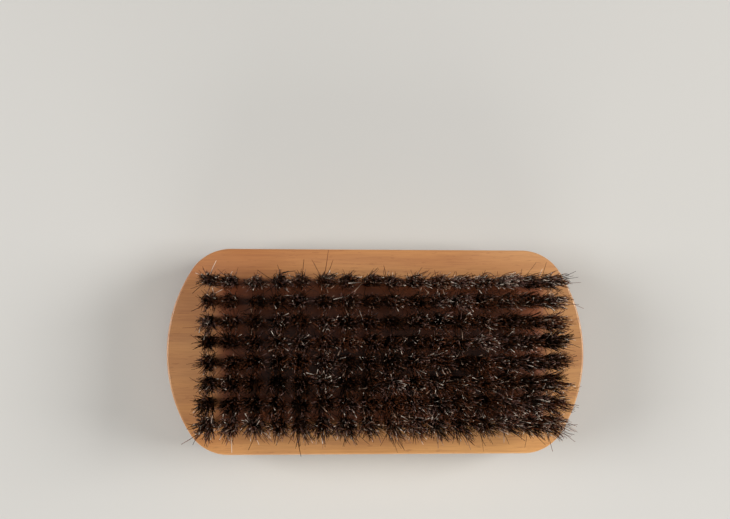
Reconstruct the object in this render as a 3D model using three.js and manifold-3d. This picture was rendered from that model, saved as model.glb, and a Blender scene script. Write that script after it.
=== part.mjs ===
// Beard brush: a palm-held oval wooden block with a domed back and a flat face
// that carries 128 bristle tufts, each folded into its own blind drilled hole.
//
// Units are millimetres. +X runs along the brush, +Y across it and +Z out of the
// flat face, along the bristles. The origin is below the middle of the brush, at
// the height of the lowest point of the domed back, on which the brush rests.

import * as THREE from 'three';
import { mergeGeometries, mergeVertices } from 'three/addons/utils/BufferGeometryUtils.js';
import Module from 'manifold-3d';

// Block outline, seen along Z.
const LENGTH = 120;
const WIDTH = 58.6;
const END_RADIUS = 43.3;
const CORNER_RADIUS = 13.2;
const SIDE_STEPS = 10;
const CORNER_STEPS = 5;
const END_STEPS = 12;

// Block height: the flat face is level, and the back curves up away from the
// middle, where a small sanded flat lets the brush lie without rocking.
const FACE_HEIGHT = 21.4;
const RISE_LONG = 1.859e-3;
const RISE_ENDS = 4.78e-11;
const RISE_ACROSS = 3.19e-3;
const RISE_ACROSS_FADE = 8.8e-7;
const EDGE_ROUND = 0.5;
const BACK_LOOPS = [0.88, 0.72, 0.54, 0.36];
const REST_FLAT = 0.17;

// Tuft layout: a plain rectangular grid.
const COLUMNS = 16;
const ROWS = 8;
const COLUMN_PITCH = 6.36;
const ROW_PITCH = 5.7;
const TUFTS_PER_NODE = 4;

// One hole, and the tuft in it.
const SIDES = 8;
const HOLE_RADIUS = 1.55;
const HOLE_DEPTH = 9;
const HOLE_POINT = 0.8;
const TUFT_BOTTOM = 8.7;
const TUFT_RADIUS = 1.22;
const TUFT_STRAIGHT = 0.5;
const BRISTLE_LENGTH = 17.3;
const TIP_RADIUS_X = 3.45;
const TIP_RADIUS_Y = 2.4;
const SPLAY_X = 0.2;
const LEAN_X = 0.5;
const LEAN_Y = -0.55;
const LEAN_Y_OUTER = -0.35;
const NODE_GAP = 0.36;

const COLUMN_SPAN = (COLUMNS - 1) * COLUMN_PITCH / 2;
const ROW_SPAN = (ROWS - 1) * ROW_PITCH / 2;

const wasm = await Module();
wasm.setup();

function solidFrom(geometry) {
  geometry.deleteAttribute('normal');
  geometry.deleteAttribute('uv');
  const merged = mergeVertices(geometry, 1e-4);
  return new wasm.Manifold(new wasm.Mesh({
    numProp: 3,
    vertProperties: merged.attributes.position.array,
    triVerts: new Uint32Array(merged.index.array),
  }));
}

function geometryFrom(solid) {
  const mesh = solid.getMesh();
  const geometry = new THREE.BufferGeometry();
  geometry.setAttribute('position', new THREE.BufferAttribute(mesh.vertProperties, 3));
  geometry.setIndex(new THREE.BufferAttribute(mesh.triVerts, 1));
  geometry.computeVertexNormals();
  return geometry;
}

// Closes a stack of point loops, all with the same number of points and all
// counter-clockwise seen from +Z, with a fan at each end.
function loft(loops, bottomCentre, topCentre) {
  const count = loops[0].length;
  const points = [...loops.flat(), bottomCentre, topCentre];
  const bottom = loops.length * count;
  const top = bottom + 1;
  const index = [];
  for (let i = 0; i < count; i++) {
    const next = (i + 1) % count;
    index.push(bottom, next, i);
    for (let layer = 0; layer < loops.length - 1; layer++) {
      const a = layer * count + i;
      const b = layer * count + next;
      index.push(a, b, b + count);
      index.push(a, b + count, a + count);
    }
    const last = (loops.length - 1) * count;
    index.push(top, last + i, last + next);
  }
  const geometry = new THREE.BufferGeometry();
  const flat = points.flatMap((point) => [point.x, point.y, point.z]);
  geometry.setAttribute('position', new THREE.Float32BufferAttribute(flat, 3));
  geometry.setIndex(index);
  return geometry;
}

// The height of the domed back above its lowest point.
function backHeight(x, y) {
  const along = RISE_LONG * x ** 2 + RISE_ENDS * x ** 6;
  const across = (RISE_ACROSS - RISE_ACROSS_FADE * x ** 2) * y ** 2;
  return along + across;
}

function arcPoints(centreX, centreY, radius, from, to, steps) {
  const points = [];
  for (let i = 0; i < steps; i++) {
    const angle = from + (to - from) * i / steps;
    points.push(new THREE.Vector2(
      centreX + radius * Math.cos(angle),
      centreY + radius * Math.sin(angle),
    ));
  }
  return points;
}

// The outline moved inwards by inset: two straight sides, four small corner arcs
// and a large arc at each end. Points run counter-clockwise seen from +Z.
function outline(inset) {
  const endX = LENGTH / 2 - END_RADIUS;
  const cornerY = WIDTH / 2 - CORNER_RADIUS;
  const reach = END_RADIUS - CORNER_RADIUS;
  const cornerX = endX + Math.sqrt(reach ** 2 - cornerY ** 2);
  const turn = Math.asin(cornerY / reach);
  const side = WIDTH / 2 - inset;
  const small = CORNER_RADIUS - inset;
  const large = END_RADIUS - inset;
  const half = [];
  for (let i = 0; i < SIDE_STEPS; i++) {
    half.push(new THREE.Vector2(cornerX * (2 * i / SIDE_STEPS - 1), -side));
  }
  half.push(...arcPoints(cornerX, -cornerY, small, -Math.PI / 2, -turn, CORNER_STEPS));
  half.push(...arcPoints(endX, 0, large, -turn, turn, END_STEPS));
  half.push(...arcPoints(cornerX, cornerY, small, turn, Math.PI / 2, CORNER_STEPS));
  const other = half.map((point) => new THREE.Vector2(-point.x, -point.y));
  return [...half, ...other];
}

function levelLoop(inset, z) {
  return outline(inset).map((point) => new THREE.Vector3(point.x, point.y, z));
}

function backLoop(inset, scale, lift) {
  return outline(inset).map((point) => {
    const x = point.x * scale;
    const y = point.y * scale;
    return new THREE.Vector3(x, y, backHeight(x, y) + lift);
  });
}

function blockSolid() {
  const restLoop = outline(EDGE_ROUND).map((point) => (
    new THREE.Vector3(point.x * REST_FLAT, point.y * REST_FLAT, 0)
  ));
  const loops = [restLoop];
  loops.push(...[...BACK_LOOPS].reverse().map((scale) => backLoop(EDGE_ROUND, scale, 0)));
  loops.push(backLoop(EDGE_ROUND, 1, 0));
  loops.push(backLoop(EDGE_ROUND * 0.3, 1, EDGE_ROUND * 0.3));
  loops.push(backLoop(0, 1, EDGE_ROUND));
  loops.push(levelLoop(0, FACE_HEIGHT - EDGE_ROUND));
  loops.push(levelLoop(EDGE_ROUND * 0.3, FACE_HEIGHT - EDGE_ROUND * 0.3));
  loops.push(levelLoop(EDGE_ROUND, FACE_HEIGHT));
  const bottomCentre = new THREE.Vector3(0, 0, 0);
  const topCentre = new THREE.Vector3(0, 0, FACE_HEIGHT);
  return solidFrom(loft(loops, bottomCentre, topCentre));
}

function columnX(column) {
  return column * COLUMN_PITCH - COLUMN_SPAN;
}

function rowY(row) {
  return row * ROW_PITCH - ROW_SPAN;
}

// All tufts lean a little to +X and -Y: the last columns more to +X, the outer rows
// more to -Y.
function tipX(column) {
  const share = columnX(column) / COLUMN_SPAN;
  return columnX(column) + SPLAY_X * share * Math.abs(share) + LEAN_X;
}

function tipY(row) {
  const share = rowY(row) / ROW_SPAN;
  return rowY(row) + LEAN_Y + LEAN_Y_OUTER * share ** 2;
}

// A blind hole with a drill point, as a turned cutter that stands proud of the face.
function holeCutter(column, row) {
  const profile = [
    new THREE.Vector2(0, -HOLE_DEPTH - HOLE_POINT),
    new THREE.Vector2(HOLE_RADIUS, -HOLE_DEPTH),
    new THREE.Vector2(HOLE_RADIUS, 1),
    new THREE.Vector2(0, 1),
  ];
  const cutter = new THREE.LatheGeometry(profile, SIDES);
  cutter.rotateX(Math.PI / 2);
  cutter.translate(columnX(column), rowY(row), FACE_HEIGHT);
  return cutter;
}

function ring(centreX, centreY, z, radiusX, radiusY) {
  const points = [];
  for (let i = 0; i < SIDES; i++) {
    const angle = 2 * Math.PI * i / SIDES;
    points.push(new THREE.Vector3(
      centreX + radiusX * Math.cos(angle),
      centreY + radiusY * Math.sin(angle),
      z,
    ));
  }
  return points;
}

// One trimmed tuft: straight in its hole, then flaring to a flat tip that is
// held between lowX and highX.
function tuft(column, row, lowX, highX) {
  const bottomZ = FACE_HEIGHT - TUFT_BOTTOM;
  const flareZ = FACE_HEIGHT + TUFT_STRAIGHT;
  const topZ = FACE_HEIGHT + BRISTLE_LENGTH;
  const x = columnX(column);
  const y = rowY(row);
  const tip = ring(tipX(column), tipY(row), topZ, TIP_RADIUS_X, TIP_RADIUS_Y);
  for (const point of tip) {
    point.x = Math.min(Math.max(point.x, lowX), highX);
  }
  const loops = [
    ring(x, y, bottomZ, TUFT_RADIUS, TUFT_RADIUS),
    ring(x, y, flareZ, TUFT_RADIUS, TUFT_RADIUS),
    tip,
  ];
  const bottomCentre = new THREE.Vector3(x, y, bottomZ);
  const topCentre = new THREE.Vector3(tipX(column), tipY(row), topZ);
  return loft(loops, bottomCentre, topCentre);
}

// Neighbouring tufts of a row grow into each other at their tips.
function tuftGroupSolid(row, first) {
  const last = first + TUFTS_PER_NODE - 1;
  const lowX = first > 0 ? (tipX(first - 1) + tipX(first) + NODE_GAP) / 2 : -Infinity;
  const highX = last < COLUMNS - 1 ? (tipX(last) + tipX(last + 1) - NODE_GAP) / 2 : Infinity;
  let group = solidFrom(tuft(first, row, lowX, highX));
  for (let column = first + 1; column <= last; column++) {
    group = group.add(solidFrom(tuft(column, row, lowX, highX)));
  }
  return group;
}

function namedMesh(name, solid, material) {
  const mesh = new THREE.Mesh(geometryFrom(solid), material);
  mesh.name = name;
  return mesh;
}

const wood = new THREE.MeshStandardMaterial({ color: 0xcf9a63, roughness: 0.38, metalness: 0 });
const bristle = new THREE.MeshStandardMaterial({ color: 0x2e2119, roughness: 0.6, metalness: 0 });

const cutters = [];
for (let row = 0; row < ROWS; row++) {
  for (let column = 0; column < COLUMNS; column++) {
    cutters.push(holeCutter(column, row));
  }
}

const brush = new THREE.Group();
brush.name = 'beard_brush';

const drilled = blockSolid().subtract(solidFrom(mergeGeometries(cutters)));
brush.add(namedMesh('brush_block', drilled, wood));

for (let row = 0; row < ROWS; row++) {
  for (let first = 0; first < COLUMNS; first += TUFTS_PER_NODE) {
    const from = String(first + 1).padStart(2, '0');
    const to = String(first + TUFTS_PER_NODE).padStart(2, '0');
    const name = `tufts_row${row + 1}_cols${from}_${to}`;
    brush.add(namedMesh(name, tuftGroupSolid(row, first), bristle));
  }
}

export default brush;
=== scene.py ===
"""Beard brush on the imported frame: the lacquered wooden block with its drilled holes,
the bristle tufts folded into them, and the wire anchors at the hole bottoms.

Lengths in the constants are millimetres. +X runs along the brush, +Y across it and +Z
out of the flat face. Everything is turned into metres when its mesh is made.
"""

import math

import bpy
import numpy as np
from mathutils import Matrix, Vector
from mathutils.geometry import delaunay_2d_cdt


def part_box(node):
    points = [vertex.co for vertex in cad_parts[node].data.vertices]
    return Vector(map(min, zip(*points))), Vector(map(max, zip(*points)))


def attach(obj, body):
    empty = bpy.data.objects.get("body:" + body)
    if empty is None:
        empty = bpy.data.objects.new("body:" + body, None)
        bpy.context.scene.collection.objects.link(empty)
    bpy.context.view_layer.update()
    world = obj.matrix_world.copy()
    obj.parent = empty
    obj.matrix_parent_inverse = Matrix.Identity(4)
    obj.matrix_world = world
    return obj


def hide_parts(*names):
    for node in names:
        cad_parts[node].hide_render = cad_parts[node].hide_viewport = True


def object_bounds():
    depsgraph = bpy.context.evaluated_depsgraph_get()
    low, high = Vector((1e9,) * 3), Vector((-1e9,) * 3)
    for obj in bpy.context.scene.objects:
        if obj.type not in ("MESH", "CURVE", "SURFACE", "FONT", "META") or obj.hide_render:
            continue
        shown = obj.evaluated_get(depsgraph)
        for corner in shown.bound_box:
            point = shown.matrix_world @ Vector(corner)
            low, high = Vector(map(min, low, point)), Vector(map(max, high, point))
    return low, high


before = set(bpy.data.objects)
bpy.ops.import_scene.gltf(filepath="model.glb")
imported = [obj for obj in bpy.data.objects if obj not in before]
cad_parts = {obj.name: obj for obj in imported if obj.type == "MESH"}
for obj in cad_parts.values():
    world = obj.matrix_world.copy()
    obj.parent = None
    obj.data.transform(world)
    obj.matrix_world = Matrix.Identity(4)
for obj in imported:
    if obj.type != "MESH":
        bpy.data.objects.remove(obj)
cad_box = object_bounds()

MM = 0.001


def box_size(corners):
    """The size in millimetres, on each axis, of a box given in metres."""
    low, high = corners
    return [round((b - a) / MM, 2) for a, b in zip(low, high)]


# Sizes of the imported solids: the block alone, and the tufts that stand out of its face.
LENGTH, WIDTH, FACE_HEIGHT = box_size(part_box("brush_block"))
BRISTLE_LENGTH = round(box_size(cad_box)[2] - FACE_HEIGHT, 2)

# Block outline and the rise of its domed back, as in the solid model.
END_RADIUS = 43.3
CORNER_RADIUS = 13.2
RISE_LONG = 1.859e-3
RISE_ENDS = 4.78e-11
RISE_ACROSS = 3.19e-3
RISE_ACROSS_FADE = 8.8e-7
EDGE_ROUND = 0.5
REST_FLAT = 0.17

# How finely the block's surface is divided.
SIDE_STEPS = 48
CORNER_STEPS = 18
END_STEPS = 56
ROUND_STEPS = 5
BACK_LOOPS = 22
BACK_LOOP_POWER = 0.8
WALL_SHARES = (0.04, 0.35, 0.65, 0.96)
HOLE_STEPS = 20

# Tuft grid, as in the solid model, and one hole with a small chamfer at its mouth.
COLUMNS = 16
ROWS = 8
COLUMN_PITCH = 6.36
ROW_PITCH = 5.7
TUFTS_PER_PIECE = 4
HOLE_RADIUS = 1.3
HOLE_RIM = 0.1
HOLE_DEPTH = 9.0
HOLE_POINT = 0.8
MOUTH_RADIUS = HOLE_RADIUS + HOLE_RIM

COLUMN_SPAN = (COLUMNS - 1) * COLUMN_PITCH / 2
ROW_SPAN = (ROWS - 1) * ROW_PITCH / 2

# One hair: a tapering tube. In all the bristle constants a pair is the range of a random
# value, except for TIP_SPREAD, TUFT_WANDER and LOOSER_ROWS, whose pairs are for X and Y.
SEED = 7
HAIRS_PER_TUFT = 270
HAIR_SIDES = 3
HAIR_STEPS = 6
HAIR_RADIUS = 0.095
HAIR_THICKNESS = (0.75, 1.25)
TAPER = 0.4
BEND_POWER = (1.0, 1.6)
BOW = 0.25
CURL = 0.5
CURL_POWER = 4
HOOK_SHARE = 0.06
HOOK_CURL = 1.4
HOOK_THICKER = 1.15

# One tuft: its roots in the hole, and its spread tips, which are drawn into clumps.
TUFT_RADIUS = 1.18
ROOT_DEPTH = 7.6
ROOT_SCATTER = 0.05
GOLDEN_ANGLE = 2.39996
TIP_SPREAD = (3.8, 3.0)
TIP_SCATTER = 0.3
TIP_FAN = (0.7, 1.2)
TUFT_SPREAD = (0.85, 1.15)
TUFT_WANDER = (0.45, 0.3)
CLUMPS = 24
CLUMP_REACH = 1.2
CLUMP_PULL = (0.25, 0.95)

# How the tufts differ over the grid: looser to +X and to -Y, and leaning as the solids do.
LOOSER_COLUMNS = 0.12
LOOSER_ROWS = (0.12, 0.28)
SPLAY_X = 0.2
LEAN_X = 0.5
LEAN_Y = -0.55
LEAN_Y_OUTER = -0.35

# The trim, with a few short hairs, and the strays that lean out of a tuft and stand proud.
TRIM_SCATTER = 0.45
SHORT_SHARE = 0.1
SHORT_LENGTH = (0.55, 0.95)
STRAY_SHARE = 0.07
STRAY_THROW = 1.3
STRAY_LEAST_THROW = 0.6
STRAY_LONGER = 1.2
LEAST_RISE = 0.5

# Bristle tones from light to dark, as sRGB, how often each one grows, and its tip's tone,
# which is darker: partly the hair's own colour, partly painted shade.
HAIR_TONES = {
    "cream": ((240, 226, 210), 0.12),
    "pale_tan": ((190, 160, 138), 0.11),
    "mauve_grey": ((136, 104, 96), 0.11),
    "rust_brown": ((106, 59, 35), 0.10),
    "plum_brown": ((78, 47, 32), 0.15),
    "dark_brown": ((50, 27, 9), 0.24),
    "near_black": ((25, 13, 4), 0.17),
}
TIP_SHADE_TONES = {
    "cream": "mauve_grey",
    "pale_tan": "rust_brown",
    "mauve_grey": "dark_brown",
    "rust_brown": "rust_brown",
    "plum_brown": "dark_brown",
    "dark_brown": "near_black",
    "near_black": "near_black",
}
SHADED_TIP_STEPS = 2
TONE_VARIETY = 0.7

# The first tones are the light ones. More hairs have them, and keep them up to the tip,
# to +X and in the outer rows.
LIGHT_TONES = 3
LIGHT_TONE_CHANGE = 0.3
LIGHT_TONE_OUTER = 1.3
LIGHT_TIP_SHARE = 0.11
LIGHT_TIP_CHANGE = 0.1
LIGHT_TIP_OUTER = 0.09
OUTER_POWER = 6

# Wood colours, as sRGB. The face goes from a darker tone at its -X, +Y corner to a lighter one, a
# painted gradient of shade and light, while X - FACE_SHADE_SLANT * Y goes from -FACE_SHADE_DRIFT to
# FACE_SHADE_DRIFT.
SIDE_WOOD = (242, 210, 166)
# End walls: a pinker wood tone, lightened with painted light.
END_WOOD_LIT = (230, 192, 160)
FACE_WOOD_AND_SHADE = ((181, 116, 61), (215, 157, 91))
FACE_SHADE_DRIFT = 96.0
FACE_SHADE_SLANT = 2.0
BACK_WOOD = (198, 116, 58)
STREAK_WOOD = (168, 104, 60)
CLOUD_WOOD = (236, 190, 138)
GRAIN_WOOD = (150, 92, 52)
FLECK_WOOD = (140, 82, 46)

# The painted shade of the tuft field on the face, darker to -Y: its tint at -Y and at +Y,
# for each axis its middle, half extent and the width of its soft edge, and how deep it goes.
FIELD_SHADE_TINT = ((150, 110, 92), (212, 162, 136))
FIELD_SHADE_EDGES = (("X", 1.5, COLUMN_SPAN + 2.5, 6.0), ("Y", 0.0, ROW_SPAN + 2.0, 3.0))
FIELD_SHADE_DEPTH = 1.0

# One wire anchor: a short flat wire with both ends bent up.
WIRE_THICK = 0.3
WIRE_WIDE = 1.3
WIRE_HALF = 1.45
WIRE_LEVEL_SHARE = 0.4
WIRE_BEND = 0.35
WIRE_BELOW_ROOTS = 0.4

# Studio: name, place, size, watts and colour of each soft light.
LIGHTS = (
    ("right", (720, 70, 680), (450, 450), 7.2, (1.0, 0.98, 0.95)),
    ("left", (-720, 50, 680), (450, 450), 5.7, (1.0, 0.99, 0.97)),
    ("low", (60, -800, 420), (600, 300), 2.2, (1.0, 0.99, 0.93)),
)
LIGHT_TARGET = (0, 0, 15)
WORLD_COLOUR = (1.0, 0.97, 0.93, 1.0)
WORLD_STRENGTH = 0.22
FLOOR_HALF = 2500
CAMERA_PLACE = (-23.7, 0.0, FACE_HEIGHT + 314.4)
CAMERA_TARGET = (-3.64, 26.37, FACE_HEIGHT)
CAMERA_LENS = 54.0
CAMERA_SENSOR = 36.0


def linear(colour):
    """An sRGB colour of 0 to 255 as linear RGBA."""
    parts = [c / 255 for c in colour]
    parts = [c / 12.92 if c <= 0.04045 else ((c + 0.055) / 1.055) ** 2.4 for c in parts]
    return (*parts, 1.0)


def mesh_object(name, points, faces, smooth=True):
    """A mesh object from points in millimetres."""
    mesh = bpy.data.meshes.new(name)
    mesh.from_pydata((np.asarray(points) * MM).tolist(), [], faces)
    mesh.polygons.foreach_set("use_smooth", [smooth] * len(mesh.polygons))
    mesh.update()
    piece = bpy.data.objects.new(name, mesh)
    bpy.context.scene.collection.objects.link(piece)
    return piece


def column_x(column):
    return column * COLUMN_PITCH - COLUMN_SPAN


def row_y(row):
    return row * ROW_PITCH - ROW_SPAN


def hole_centres():
    return [(column_x(column), row_y(row)) for row in range(ROWS) for column in range(COLUMNS)]


# ---------------------------------------------------------------- materials


class Nodes:
    """A small helper that adds nodes to one material and links them."""

    def __init__(self, name):
        self.material = bpy.data.materials.new(name)
        self.material.use_nodes = True
        self.tree = self.material.node_tree
        self.shader = self.tree.nodes["Principled BSDF"]

    def node(self, kind, **settings):
        made = self.tree.nodes.new(kind)
        for key, value in settings.items():
            setattr(made, key, value)
        return made

    def feed(self, socket, value):
        """Links an output to a socket, or sets a plain number or colour on it."""
        if isinstance(value, bpy.types.NodeSocket):
            self.tree.links.new(value, socket)
        else:
            socket.default_value = value

    def set_input(self, name, value):
        """Feeds one input of the surface shader."""
        self.feed(self.shader.inputs[name], value)

    def axes(self, kind):
        """X, Y and Z of the "Object" coordinates, in metres, or of the "Normal"."""
        where = self.node("ShaderNodeTexCoord")
        split = self.node("ShaderNodeSeparateXYZ")
        self.feed(split.inputs[0], where.outputs[kind])
        return split.outputs

    def place(self, scale, offset):
        """Object coordinates in metres, scaled on each axis."""
        where = self.node("ShaderNodeTexCoord")
        mapping = self.node("ShaderNodeMapping")
        mapping.inputs["Scale"].default_value = scale
        mapping.inputs["Location"].default_value = offset
        self.feed(mapping.inputs["Vector"], where.outputs["Object"])
        return mapping.outputs["Vector"]

    def noise(self, scale, offset=(0.0, 0.0, 0.0), detail=2.0, roughness=0.55, distortion=0.0):
        made = self.node("ShaderNodeTexNoise")
        made.inputs["Scale"].default_value = 1.0
        made.inputs["Detail"].default_value = detail
        made.inputs["Roughness"].default_value = roughness
        made.inputs["Distortion"].default_value = distortion
        self.feed(made.inputs["Vector"], self.place(scale, offset))
        return made.outputs["Fac"]

    def spread(self, value, low, high, to_low=0.0, to_high=1.0, smooth=False):
        """Maps low..high to to_low..to_high, clamped."""
        made = self.node("ShaderNodeMapRange")
        if smooth:
            made.interpolation_type = "SMOOTHSTEP"
        made.inputs["From Min"].default_value = low
        made.inputs["From Max"].default_value = high
        made.inputs["To Min"].default_value = to_low
        made.inputs["To Max"].default_value = to_high
        self.feed(made.inputs["Value"], value)
        return made.outputs["Result"]

    def maths(self, operation, a, b=0.0):
        made = self.node("ShaderNodeMath", operation=operation)
        self.feed(made.inputs[0], a)
        self.feed(made.inputs[1], b)
        return made.outputs[0]

    def mix(self, factor, a, b, blend="MIX"):
        """A colour mix; a and b are sRGB colours or outputs."""
        made = self.node("ShaderNodeMix", data_type="RGBA", blend_type=blend)
        self.feed(made.inputs[0], factor)
        for socket, value in ((made.inputs[6], a), (made.inputs[7], b)):
            self.feed(socket, linear(value) if isinstance(value, tuple) else value)
        return made.outputs[2]


def wood_ground(n, place, flat_share):
    """Pale side walls, pinker end walls lightened with painted light, a warm face with a painted
    gradient of shade and light, and a redder back.
    """
    normal = n.axes("Normal")
    # Painted light: the end walls get the lightened pinker tone.
    end_share = n.spread(n.maths("ABSOLUTE", normal["X"]), 0.35, 0.95, 0.0, 0.6, smooth=True)
    wall = n.mix(end_share, SIDE_WOOD, END_WOOD_LIT)
    # Painted shade and light: the face is darker at its -X, +Y corner and lighter away from it.
    shade_slant = n.maths("SUBTRACT", place["X"], n.maths("MULTIPLY", place["Y"], FACE_SHADE_SLANT))
    flat = n.mix(n.spread(shade_slant, -FACE_SHADE_DRIFT * MM, FACE_SHADE_DRIFT * MM), *FACE_WOOD_AND_SHADE)
    back_share = n.spread(normal["Z"], -0.75, -0.25, 1.0, 0.0, smooth=True)
    flat = n.mix(back_share, flat, BACK_WOOD)
    return n.mix(flat_share, wall, flat)


def wood_figure(n, tone, flat_share, streaks, grain):
    """Streaks, lighter clouds, fine grain and short flecks, along X and fainter on the walls."""
    streak_share = n.spread(streaks, 0.38, 0.66, 0.0, 0.4)
    streak_share = n.maths("MULTIPLY", streak_share, n.spread(flat_share, 0.0, 1.0, 0.22, 1.0))
    tone = n.mix(streak_share, tone, STREAK_WOOD, "MULTIPLY")
    clouds = n.noise((14.0, 42.0, 42.0), offset=(3.0, 1.0, 7.0))
    tone = n.mix(n.spread(clouds, 0.4, 0.7, 0.0, 0.26), tone, CLOUD_WOOD)
    grain_share = n.spread(grain, 0.42, 0.72, 0.0, 0.16)
    grain_share = n.maths("MULTIPLY", grain_share, n.spread(flat_share, 0.0, 1.0, 0.4, 1.0))
    tone = n.mix(grain_share, tone, GRAIN_WOOD, "MULTIPLY")
    flecks = n.noise((330.0, 1900.0, 1900.0), offset=(11.0, 5.0, 2.0), detail=1.0)
    fleck_share = n.maths("MULTIPLY", n.spread(flecks, 0.64, 0.72, 0.0, 0.34), flat_share)
    return n.mix(fleck_share, tone, FLECK_WOOD)


def tuft_field_shade(n, place):
    """How far a point of the flat face lies inside the tuft field, where shade is painted on the
    wood.
    """
    inside = []
    for axis, middle, edge, soft in FIELD_SHADE_EDGES:
        away = n.maths("ABSOLUTE", n.maths("SUBTRACT", place[axis], middle * MM))
        inside.append(n.spread(away, (edge - soft) * MM, edge * MM, 1.0, 0.0, smooth=True))
    near_face = n.spread(place["Z"], (FACE_HEIGHT - FIELD_SHADE_DEPTH) * MM, FACE_HEIGHT * MM)
    return n.maths("MULTIPLY", n.maths("MULTIPLY", *inside), near_face)


def wood_material():
    """Lacquered wood, with its figure along X and shade painted on the face between the tufts."""
    n = Nodes("lacquered_wood")
    place = n.axes("Object")
    level = n.maths("ABSOLUTE", n.axes("Normal")["Z"])
    flat_share = n.spread(level, 0.25, 0.75, smooth=True)
    streaks = n.noise((16.0, 260.0, 260.0), detail=6.0, roughness=0.62, distortion=0.4)
    grain = n.noise((150.0, 3200.0, 3200.0), roughness=0.5)
    tone = wood_figure(n, wood_ground(n, place, flat_share), flat_share, streaks, grain)
    painted_shade = n.mix(n.spread(place["Y"], -ROW_SPAN * MM, ROW_SPAN * MM), *FIELD_SHADE_TINT)
    # Painted shade: the face darkens between the tufts, more towards -Y.
    n.set_input("Base Color", n.mix(tuft_field_shade(n, place), tone, painted_shade, "MULTIPLY"))
    n.set_input("Roughness", n.spread(streaks, 0.3, 0.7, 0.40, 0.52))
    n.set_input("Coat Weight", 0.5)
    n.set_input("Coat Roughness", 0.12)
    bump = n.node("ShaderNodeBump")
    bump.inputs["Strength"].default_value = 0.25
    bump.inputs["Distance"].default_value = 0.04 * MM
    n.feed(bump.inputs["Height"], grain)
    n.set_input("Normal", bump.outputs["Normal"])
    return n.material


def hair_materials():
    """One satin material for each bristle tone, with a gloss that varies along the hair."""
    made = []
    for tone, (colour, _) in HAIR_TONES.items():
        n = Nodes("bristle_" + tone)
        n.set_input("Base Color", linear(colour))
        sheen = n.noise((500.0, 500.0, 140.0))
        n.set_input("Roughness", n.spread(sheen, 0.3, 0.7, 0.34, 0.56))
        n.set_input("Specular IOR Level", 0.12)
        made.append(n.material)
    return made


def wire_material():
    """Drawn steel wire with fine lines along it."""
    n = Nodes("anchor_wire")
    lines = n.noise((200.0, 9000.0, 9000.0))
    n.set_input("Base Color", n.mix(n.spread(lines, 0.35, 0.65), (150, 148, 142), (196, 194, 188)))
    n.set_input("Roughness", n.spread(lines, 0.3, 0.7, 0.28, 0.42))
    n.set_input("Metallic", 1.0)
    return n.material


def floor_material():
    n = Nodes("plain_floor")
    cloud = n.noise((3.0, 3.0, 3.0))
    n.set_input("Base Color", n.mix(n.spread(cloud, 0.3, 0.7), (196, 195, 192), (201, 200, 198)))
    n.set_input("Roughness", 0.75)
    return n.material


# ---------------------------------------------------------------- block


def back_height(x, y):
    """The height of the domed back above its lowest point."""
    along = RISE_LONG * x**2 + RISE_ENDS * x**6
    across = (RISE_ACROSS - RISE_ACROSS_FADE * x**2) * y**2
    return along + across


def arc(centre_x, centre_y, radius, start, stop, steps):
    angles = start + (stop - start) * np.arange(steps) / steps
    return np.column_stack(
        (centre_x + radius * np.cos(angles), centre_y + radius * np.sin(angles))
    )


def outline(inset):
    """The block's outline moved inwards, counter-clockwise: straight sides, corners, end arcs."""
    end_x = LENGTH / 2 - END_RADIUS
    corner_y = WIDTH / 2 - CORNER_RADIUS
    reach = END_RADIUS - CORNER_RADIUS
    corner_x = end_x + math.sqrt(reach**2 - corner_y**2)
    turn = math.asin(corner_y / reach)
    small = CORNER_RADIUS - inset
    side_x = corner_x * (2 * np.arange(SIDE_STEPS) / SIDE_STEPS - 1)
    side = np.column_stack((side_x, np.full(SIDE_STEPS, inset - WIDTH / 2)))
    half = np.vstack(
        (
            side,
            arc(corner_x, -corner_y, small, -math.pi / 2, -turn, CORNER_STEPS),
            arc(end_x, 0, END_RADIUS - inset, -turn, turn, END_STEPS),
            arc(corner_x, corner_y, small, turn, math.pi / 2, CORNER_STEPS),
        )
    )
    return np.vstack((half, -half))


def with_heights(plan, heights):
    return np.column_stack((plan, np.broadcast_to(heights, len(plan))))


def block_loops():
    """Loops from the rest flat over the back, round the lower edge, up and over the upper edge."""
    shrunk = outline(EDGE_ROUND)
    loops = [with_heights(shrunk * REST_FLAT, 0.0)]
    for i in range(1, BACK_LOOPS + 1):
        plan = shrunk * (REST_FLAT + (1 - REST_FLAT) * (i / BACK_LOOPS) ** BACK_LOOP_POWER)
        loops.append(with_heights(plan, back_height(*plan.T)))
    for i in range(1, ROUND_STEPS + 1):
        angle = math.pi / 2 * i / ROUND_STEPS
        plan = outline(EDGE_ROUND * (1 - math.sin(angle)))
        lift = EDGE_ROUND * (1 - math.cos(angle))
        loops.append(with_heights(plan, back_height(*plan.T) + lift))
    wall = outline(0.0)
    low = back_height(*wall.T) + EDGE_ROUND
    high = FACE_HEIGHT - EDGE_ROUND
    for share in WALL_SHARES:
        loops.append(with_heights(wall, low + (high - low) * share))
    for i in range(ROUND_STEPS + 1):
        angle = math.pi / 2 * i / ROUND_STEPS
        plan = outline(EDGE_ROUND * (1 - math.cos(angle)))
        loops.append(with_heights(plan, high + EDGE_ROUND * math.sin(angle)))
    return loops


def inside_mouth(point):
    apothem = MOUTH_RADIUS * math.cos(math.pi / HOLE_STEPS)
    return np.hypot(*(np.array(hole_centres()) - point).T).min() < apothem


def face_triangles(rim, mouths):
    """Triangles of the flat face between its rim and the hole mouths, over their stacked points."""
    points = []
    edges = []
    for ring in (rim, *mouths):
        first = len(points)
        points.extend(Vector(p[:2]) for p in ring)
        edges.extend((first + i, first + (i + 1) % len(ring)) for i in range(len(ring)))
    only_inside = 1
    merge_distance = 1e-7
    flat, _, faces, *_ = delaunay_2d_cdt(points, edges, [], only_inside, merge_distance)
    if len(flat) != len(points):
        raise RuntimeError("the face's triangulation added or merged points")
    middles = [np.mean([flat[i][:] for i in face], axis=0) for face in faces]
    return [face for face, middle in zip(faces, middles) if not inside_mouth(middle)]


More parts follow.
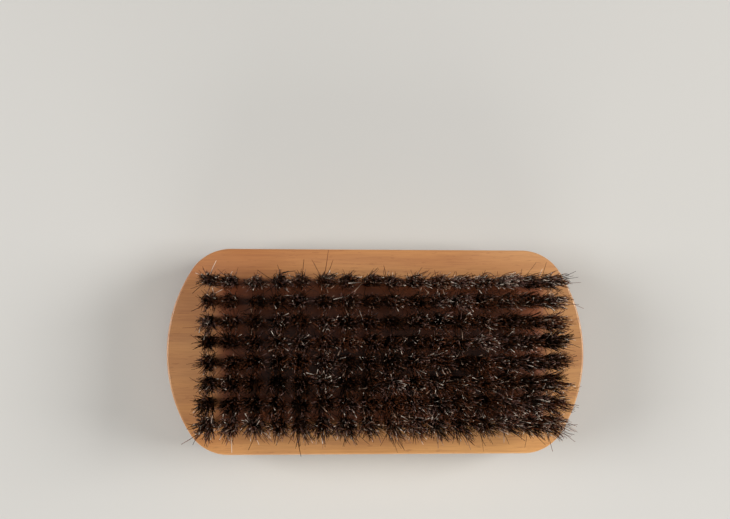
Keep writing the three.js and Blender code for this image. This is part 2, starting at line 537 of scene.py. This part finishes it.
def block_piece(material):
    """The drilled block: the looped skin, the holes with their drill points, and the flat face."""
    loops = block_loops()
    count = len(loops[0])
    points = [*np.vstack(loops), (0.0, 0.0, 0.0)]
    middle = len(points) - 1
    faces = [(middle, (i + 1) % count, i) for i in range(count)]
    for layer in range(len(loops) - 1):
        for i in range(count):
            a = layer * count + i
            b = layer * count + (i + 1) % count
            faces.append((a, b, b + count, a + count))

    mouth_first = len(points)
    angles = 2 * math.pi * np.arange(HOLE_STEPS) / HOLE_STEPS
    circle = np.column_stack((np.cos(angles), np.sin(angles)))
    mouths = [with_heights(circle * MOUTH_RADIUS + xy, FACE_HEIGHT) for xy in hole_centres()]
    points.extend(np.vstack(mouths))
    mouth_last = len(points)
    for hole, (x, y) in enumerate(hole_centres()):
        above = mouth_first + hole * HOLE_STEPS
        for depth in (HOLE_RIM, HOLE_DEPTH):
            below = len(points)
            points.extend(with_heights(circle * HOLE_RADIUS + (x, y), FACE_HEIGHT - depth))
            for i in range(HOLE_STEPS):
                j = (i + 1) % HOLE_STEPS
                faces.append((above + i, above + j, below + j, below + i))
            above = below
        tip = len(points)
        points.append((x, y, FACE_HEIGHT - HOLE_DEPTH - HOLE_POINT))
        for i in range(HOLE_STEPS):
            faces.append((above + i, above + (i + 1) % HOLE_STEPS, tip))

    first_flat = len(faces)
    flat_points = [*range(middle - count, middle), *range(mouth_first, mouth_last)]
    for face in face_triangles(loops[-1], mouths):
        faces.append(tuple(flat_points[i] for i in face))
    block = mesh_object("lacquered_block", points, faces)
    for polygon in block.data.polygons[first_flat:]:
        polygon.use_smooth = False
    block.data.materials.append(material)
    return block


# ---------------------------------------------------------------- bristles


def tip_centre(x, y):
    """Where the middle of a tuft's tips stands, for a tuft rooted at x, y."""
    share = x / COLUMN_SPAN
    tip_x = x + SPLAY_X * share * abs(share) + LEAN_X
    tip_y = y + LEAN_Y + LEAN_Y_OUTER * (y / ROW_SPAN) ** 2
    return np.array((tip_x, tip_y))


def unit_disc(rng, count):
    """Points spread evenly over a disc of radius 1, each a little off its place."""
    order = np.arange(count) + 0.5
    reach = np.sqrt(order / count)
    angle = order * GOLDEN_ANGLE + rng.uniform(0, 2 * math.pi)
    disc = np.column_stack((reach * np.cos(angle), reach * np.sin(angle)))
    disc += rng.normal(0, ROOT_SCATTER, disc.shape)
    return disc / np.maximum(np.hypot(*disc.T), 1.0)[:, None]


def gathered_tips(rng, disc, x, y):
    """The plan of a tuft's tips: the disc spread out, and drawn together into clumps."""
    count = len(disc)
    fan = rng.uniform(*TIP_FAN, (count, 1))
    spread = np.array(TIP_SPREAD) * rng.uniform(*TUFT_SPREAD, 2)
    spread *= 1 - np.array(LOOSER_ROWS) * y / ROW_SPAN
    spread[0] *= 1 + LOOSER_COLUMNS * x / COLUMN_SPAN
    tips = disc * spread * fan + rng.normal(0, TIP_SCATTER, (count, 2))
    clumps = tips[rng.choice(count, CLUMPS, replace=False)] * CLUMP_REACH
    nearest = np.hypot(*(tips[:, None] - clumps[None]).transpose(2, 0, 1)).argmin(1)
    tips += (clumps[nearest] - tips) * rng.uniform(*CLUMP_PULL, (count, 1))
    return tips + (tip_centre(x, y) + rng.normal(0, TUFT_WANDER))


def trimmed_lengths(rng, count):
    lengths = BRISTLE_LENGTH + rng.normal(0, TRIM_SCATTER, count)
    short = rng.random(count) < SHORT_SHARE
    lengths[short] *= rng.uniform(*SHORT_LENGTH, short.sum())
    return lengths


def throw_strays(rng, tips, lengths):
    """Moves some tips out of the tuft and makes those hairs a little longer; tells which ones."""
    count = len(tips)
    stray = rng.random(count) < STRAY_SHARE
    lean = rng.uniform(0, 2 * math.pi, count)
    throw = rng.exponential(STRAY_THROW, count) + STRAY_LEAST_THROW
    tips[stray] += (np.column_stack((np.cos(lean), np.sin(lean))) * throw[:, None])[stray]
    lengths[stray] += rng.uniform(0.0, STRAY_LONGER, stray.sum())
    return stray


def tuft_hairs(rng, x, y):
    """One tuft's hairs: paths (hair, step, xyz), radii (hair, step), hooked tips and strays."""
    count = HAIRS_PER_TUFT
    disc = unit_disc(rng, count)
    roots = disc * TUFT_RADIUS + (x, y)
    tips = gathered_tips(rng, disc, x, y)
    lengths = trimmed_lengths(rng, count)
    stray = throw_strays(rng, tips, lengths)

    sideways = tips - roots
    distance = np.hypot(*sideways.T)
    heights = np.sqrt(np.maximum(lengths**2 - distance**2, (LEAST_RISE * lengths) ** 2))
    power = rng.uniform(*BEND_POWER, (count, 1, 1))
    bow = rng.normal(0, BOW, (count, 1, 2))
    hooked = rng.random(count) < HOOK_SHARE
    curl = rng.normal(0, 1, (count, 1, 2)) * np.where(hooked, HOOK_CURL, CURL)[:, None, None]
    share = np.linspace(0, 1, HAIR_STEPS)
    along = share[None, :, None]
    paths = np.zeros((count, HAIR_STEPS + 1, 3))
    paths[:, 0, :2] = roots
    paths[:, 0, 2] = FACE_HEIGHT - ROOT_DEPTH
    paths[:, 1:, :2] = roots[:, None] + sideways[:, None] * along**power
    paths[:, 1:, :2] += bow * np.sin(math.pi * along) + curl * along**CURL_POWER
    paths[:, 1:, 2] = FACE_HEIGHT + heights[:, None] * share
    thick = HAIR_RADIUS * rng.uniform(*HAIR_THICKNESS, count)
    thick *= np.where(hooked, HOOK_THICKER, 1.0)
    taper = np.concatenate(([1.0], 1 - TAPER * share**2))
    return paths, thick[:, None] * taper, hooked, stray


def tuft_tones(rng, hooked, stray, x, y):
    """The tone of every segment of one tuft's hairs: most tips are darker than their shafts, partly
    as painted shade.
    """
    names = list(HAIR_TONES)
    outer = abs(y / ROW_SPAN) ** OUTER_POWER
    bias = np.array([share for _, share in HAIR_TONES.values()])
    bias *= rng.lognormal(0, TONE_VARIETY, len(names))
    bias[:LIGHT_TONES] *= 1 + LIGHT_TONE_CHANGE * x / COLUMN_SPAN + LIGHT_TONE_OUTER * outer
    tones = rng.choice(len(names), HAIRS_PER_TUFT, p=bias / bias.sum())
    tones[stray] = np.maximum(tones[stray], LIGHT_TONES)
    segments = np.repeat(tones[:, None], HAIR_STEPS, axis=1)
    change = rng.integers(HAIR_STEPS - SHADED_TIP_STEPS, HAIR_STEPS, HAIRS_PER_TUFT)
    light_share = LIGHT_TIP_SHARE + LIGHT_TIP_CHANGE * x / COLUMN_SPAN + LIGHT_TIP_OUTER * outer
    change[hooked | (rng.random(HAIRS_PER_TUFT) < light_share)] = HAIR_STEPS
    tip = np.arange(HAIR_STEPS)[None] >= change[:, None]
    # Darker tip tones: partly the hair's own colour, partly painted shade.
    tip_shade = np.array([names.index(TIP_SHADE_TONES[name]) for name in names])
    return np.where(tip, tip_shade[segments], segments)


def hair_mesh(name, paths, radii, tones, phase):
    """Closed tapering tubes, one for each path, with a tone for each segment."""
    count, steps = radii.shape
    turn = 2 * math.pi * np.arange(HAIR_SIDES) / HAIR_SIDES
    angles = phase[:, None, None] + turn
    offsets = np.stack((np.cos(angles), np.sin(angles), np.zeros_like(angles)), axis=-1)
    rings = paths[:, :, None] + radii[:, :, None, None] * offsets
    first = (np.arange(count) * steps * HAIR_SIDES)[:, None, None]
    ring = (np.arange(steps - 1) * HAIR_SIDES)[None, :, None]
    side = np.arange(HAIR_SIDES)[None, None]
    after = (side + 1) % HAIR_SIDES
    low = first + ring
    high = low + HAIR_SIDES
    quads = np.stack((low + side, low + after, high + after, high + side), axis=-1)
    ends = first[:, 0] + np.arange(HAIR_SIDES)
    roots = ends[:, ::-1]
    tips = ends + (steps - 1) * HAIR_SIDES
    faces = [*quads.reshape(-1, 4).tolist(), *roots.tolist(), *tips.tolist()]
    piece = mesh_object(name, rings.reshape(-1, 3), faces)
    slots = np.concatenate((np.repeat(tones.ravel(), HAIR_SIDES), tones[:, 0], tones[:, -1]))
    piece.data.polygons.foreach_set("material_index", slots.astype(np.int32))
    return piece


def bristle_piece(row, first, materials):
    """The tufts of one row from column first on, in place of the solid that joins them."""
    rng = np.random.default_rng(1000 * row + first + SEED)
    paths = []
    radii = []
    tones = []
    for column in range(first, first + TUFTS_PER_PIECE):
        x, y = column_x(column), row_y(row)
        tuft_paths, tuft_radii, hooked, stray = tuft_hairs(rng, x, y)
        paths.append(tuft_paths)
        radii.append(tuft_radii)
        tones.append(tuft_tones(rng, hooked, stray, x, y))
    paths, radii, tones = map(np.concatenate, (paths, radii, tones))
    phase = rng.uniform(0, 2 * math.pi, len(paths))
    label = f"row{row + 1}_cols{first + 1:02d}_{first + TUFTS_PER_PIECE:02d}"
    piece = hair_mesh("bristles_" + label, paths, radii, tones, phase)
    for material in materials:
        piece.data.materials.append(material)
    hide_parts("tufts_" + label)
    return piece


# ---------------------------------------------------------------- anchors


def anchor_piece(material):
    """The small flat wires driven across each fold, one in every hole."""
    wide = WIRE_WIDE / 2
    thick = WIRE_THICK / 2
    level = WIRE_HALF * WIRE_LEVEL_SHARE
    section = ((-wide, -thick), (wide, -thick), (wide, thick), (-wide, thick))
    stations = ((-WIRE_HALF, WIRE_BEND), (-level, 0.0), (level, 0.0), (WIRE_HALF, WIRE_BEND))
    z = FACE_HEIGHT - ROOT_DEPTH - WIRE_BELOW_ROOTS
    corners = len(section)
    points = []
    faces = []
    for x, y in hole_centres():
        first = len(points)
        for along, rise in stations:
            for across, up in section:
                points.append((x + along, y + across, z + up + rise))
        last = len(points) - corners
        for low in range(first, last, corners):
            for i in range(corners):
                j = (i + 1) % corners
                faces.append((low + j, low + i, low + corners + i, low + corners + j))
        faces.append(tuple(range(first, first + corners)))
        faces.append(tuple(reversed(range(last, last + corners))))
    wires = mesh_object("anchor_wires", points, faces, smooth=False)
    wires.data.materials.append(material)
    return wires


# ---------------------------------------------------------------- the object

block = block_piece(wood_material())
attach(block, "root")
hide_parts("brush_block")

bristle_finishes = hair_materials()
for row in range(ROWS):
    for first in range(0, COLUMNS, TUFTS_PER_PIECE):
        bristles = bristle_piece(row, first, bristle_finishes)
        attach(bristles, "root")

anchors = anchor_piece(wire_material())
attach(anchors, "root")

# ---------------------------------------------------------------- stage, light, camera

floor_corners = np.array(((-1, -1, 0), (1, -1, 0), (1, 1, 0), (-1, 1, 0))) * FLOOR_HALF
floor = mesh_object("floor", floor_corners, [(0, 1, 2, 3)])
floor.data.materials.append(floor_material())

scene = bpy.context.scene
scene.view_settings.view_transform = "Standard"
scene.world = bpy.data.worlds.new("studio")
scene.world.use_nodes = True
background = scene.world.node_tree.nodes["Background"]
background.inputs["Color"].default_value = WORLD_COLOUR
background.inputs["Strength"].default_value = WORLD_STRENGTH


def aimed(place, target):
    """The rotation of something at place that looks at target, with +Y up in its view."""
    back = (place - target).normalized()
    right = Vector((0.0, 1.0, 0.0)).cross(back).normalized()
    return Matrix((right, back.cross(right), back)).transposed().to_euler()


def aimed_object(name, data, place, target):
    """Puts a light or camera at place, looking at target, both in millimetres."""
    made = bpy.data.objects.new(name, data)
    made.location = Vector(place) * MM
    made.rotation_euler = aimed(Vector(place), Vector(target))
    scene.collection.objects.link(made)
    return made


for name, place, size, watts, colour in LIGHTS:
    lamp = bpy.data.lights.new(name, "AREA")
    lamp.shape = "RECTANGLE"
    lamp.size = size[0] * MM
    lamp.size_y = size[1] * MM
    lamp.energy = watts
    lamp.color = colour
    aimed_object(name, lamp, place, LIGHT_TARGET)

camera_data = bpy.data.cameras.new("camera")
camera_data.sensor_width = CAMERA_SENSOR
camera_data.lens = CAMERA_LENS
camera_data.clip_start = 10 * MM
scene.camera = aimed_object("camera", camera_data, CAMERA_PLACE, CAMERA_TARGET)
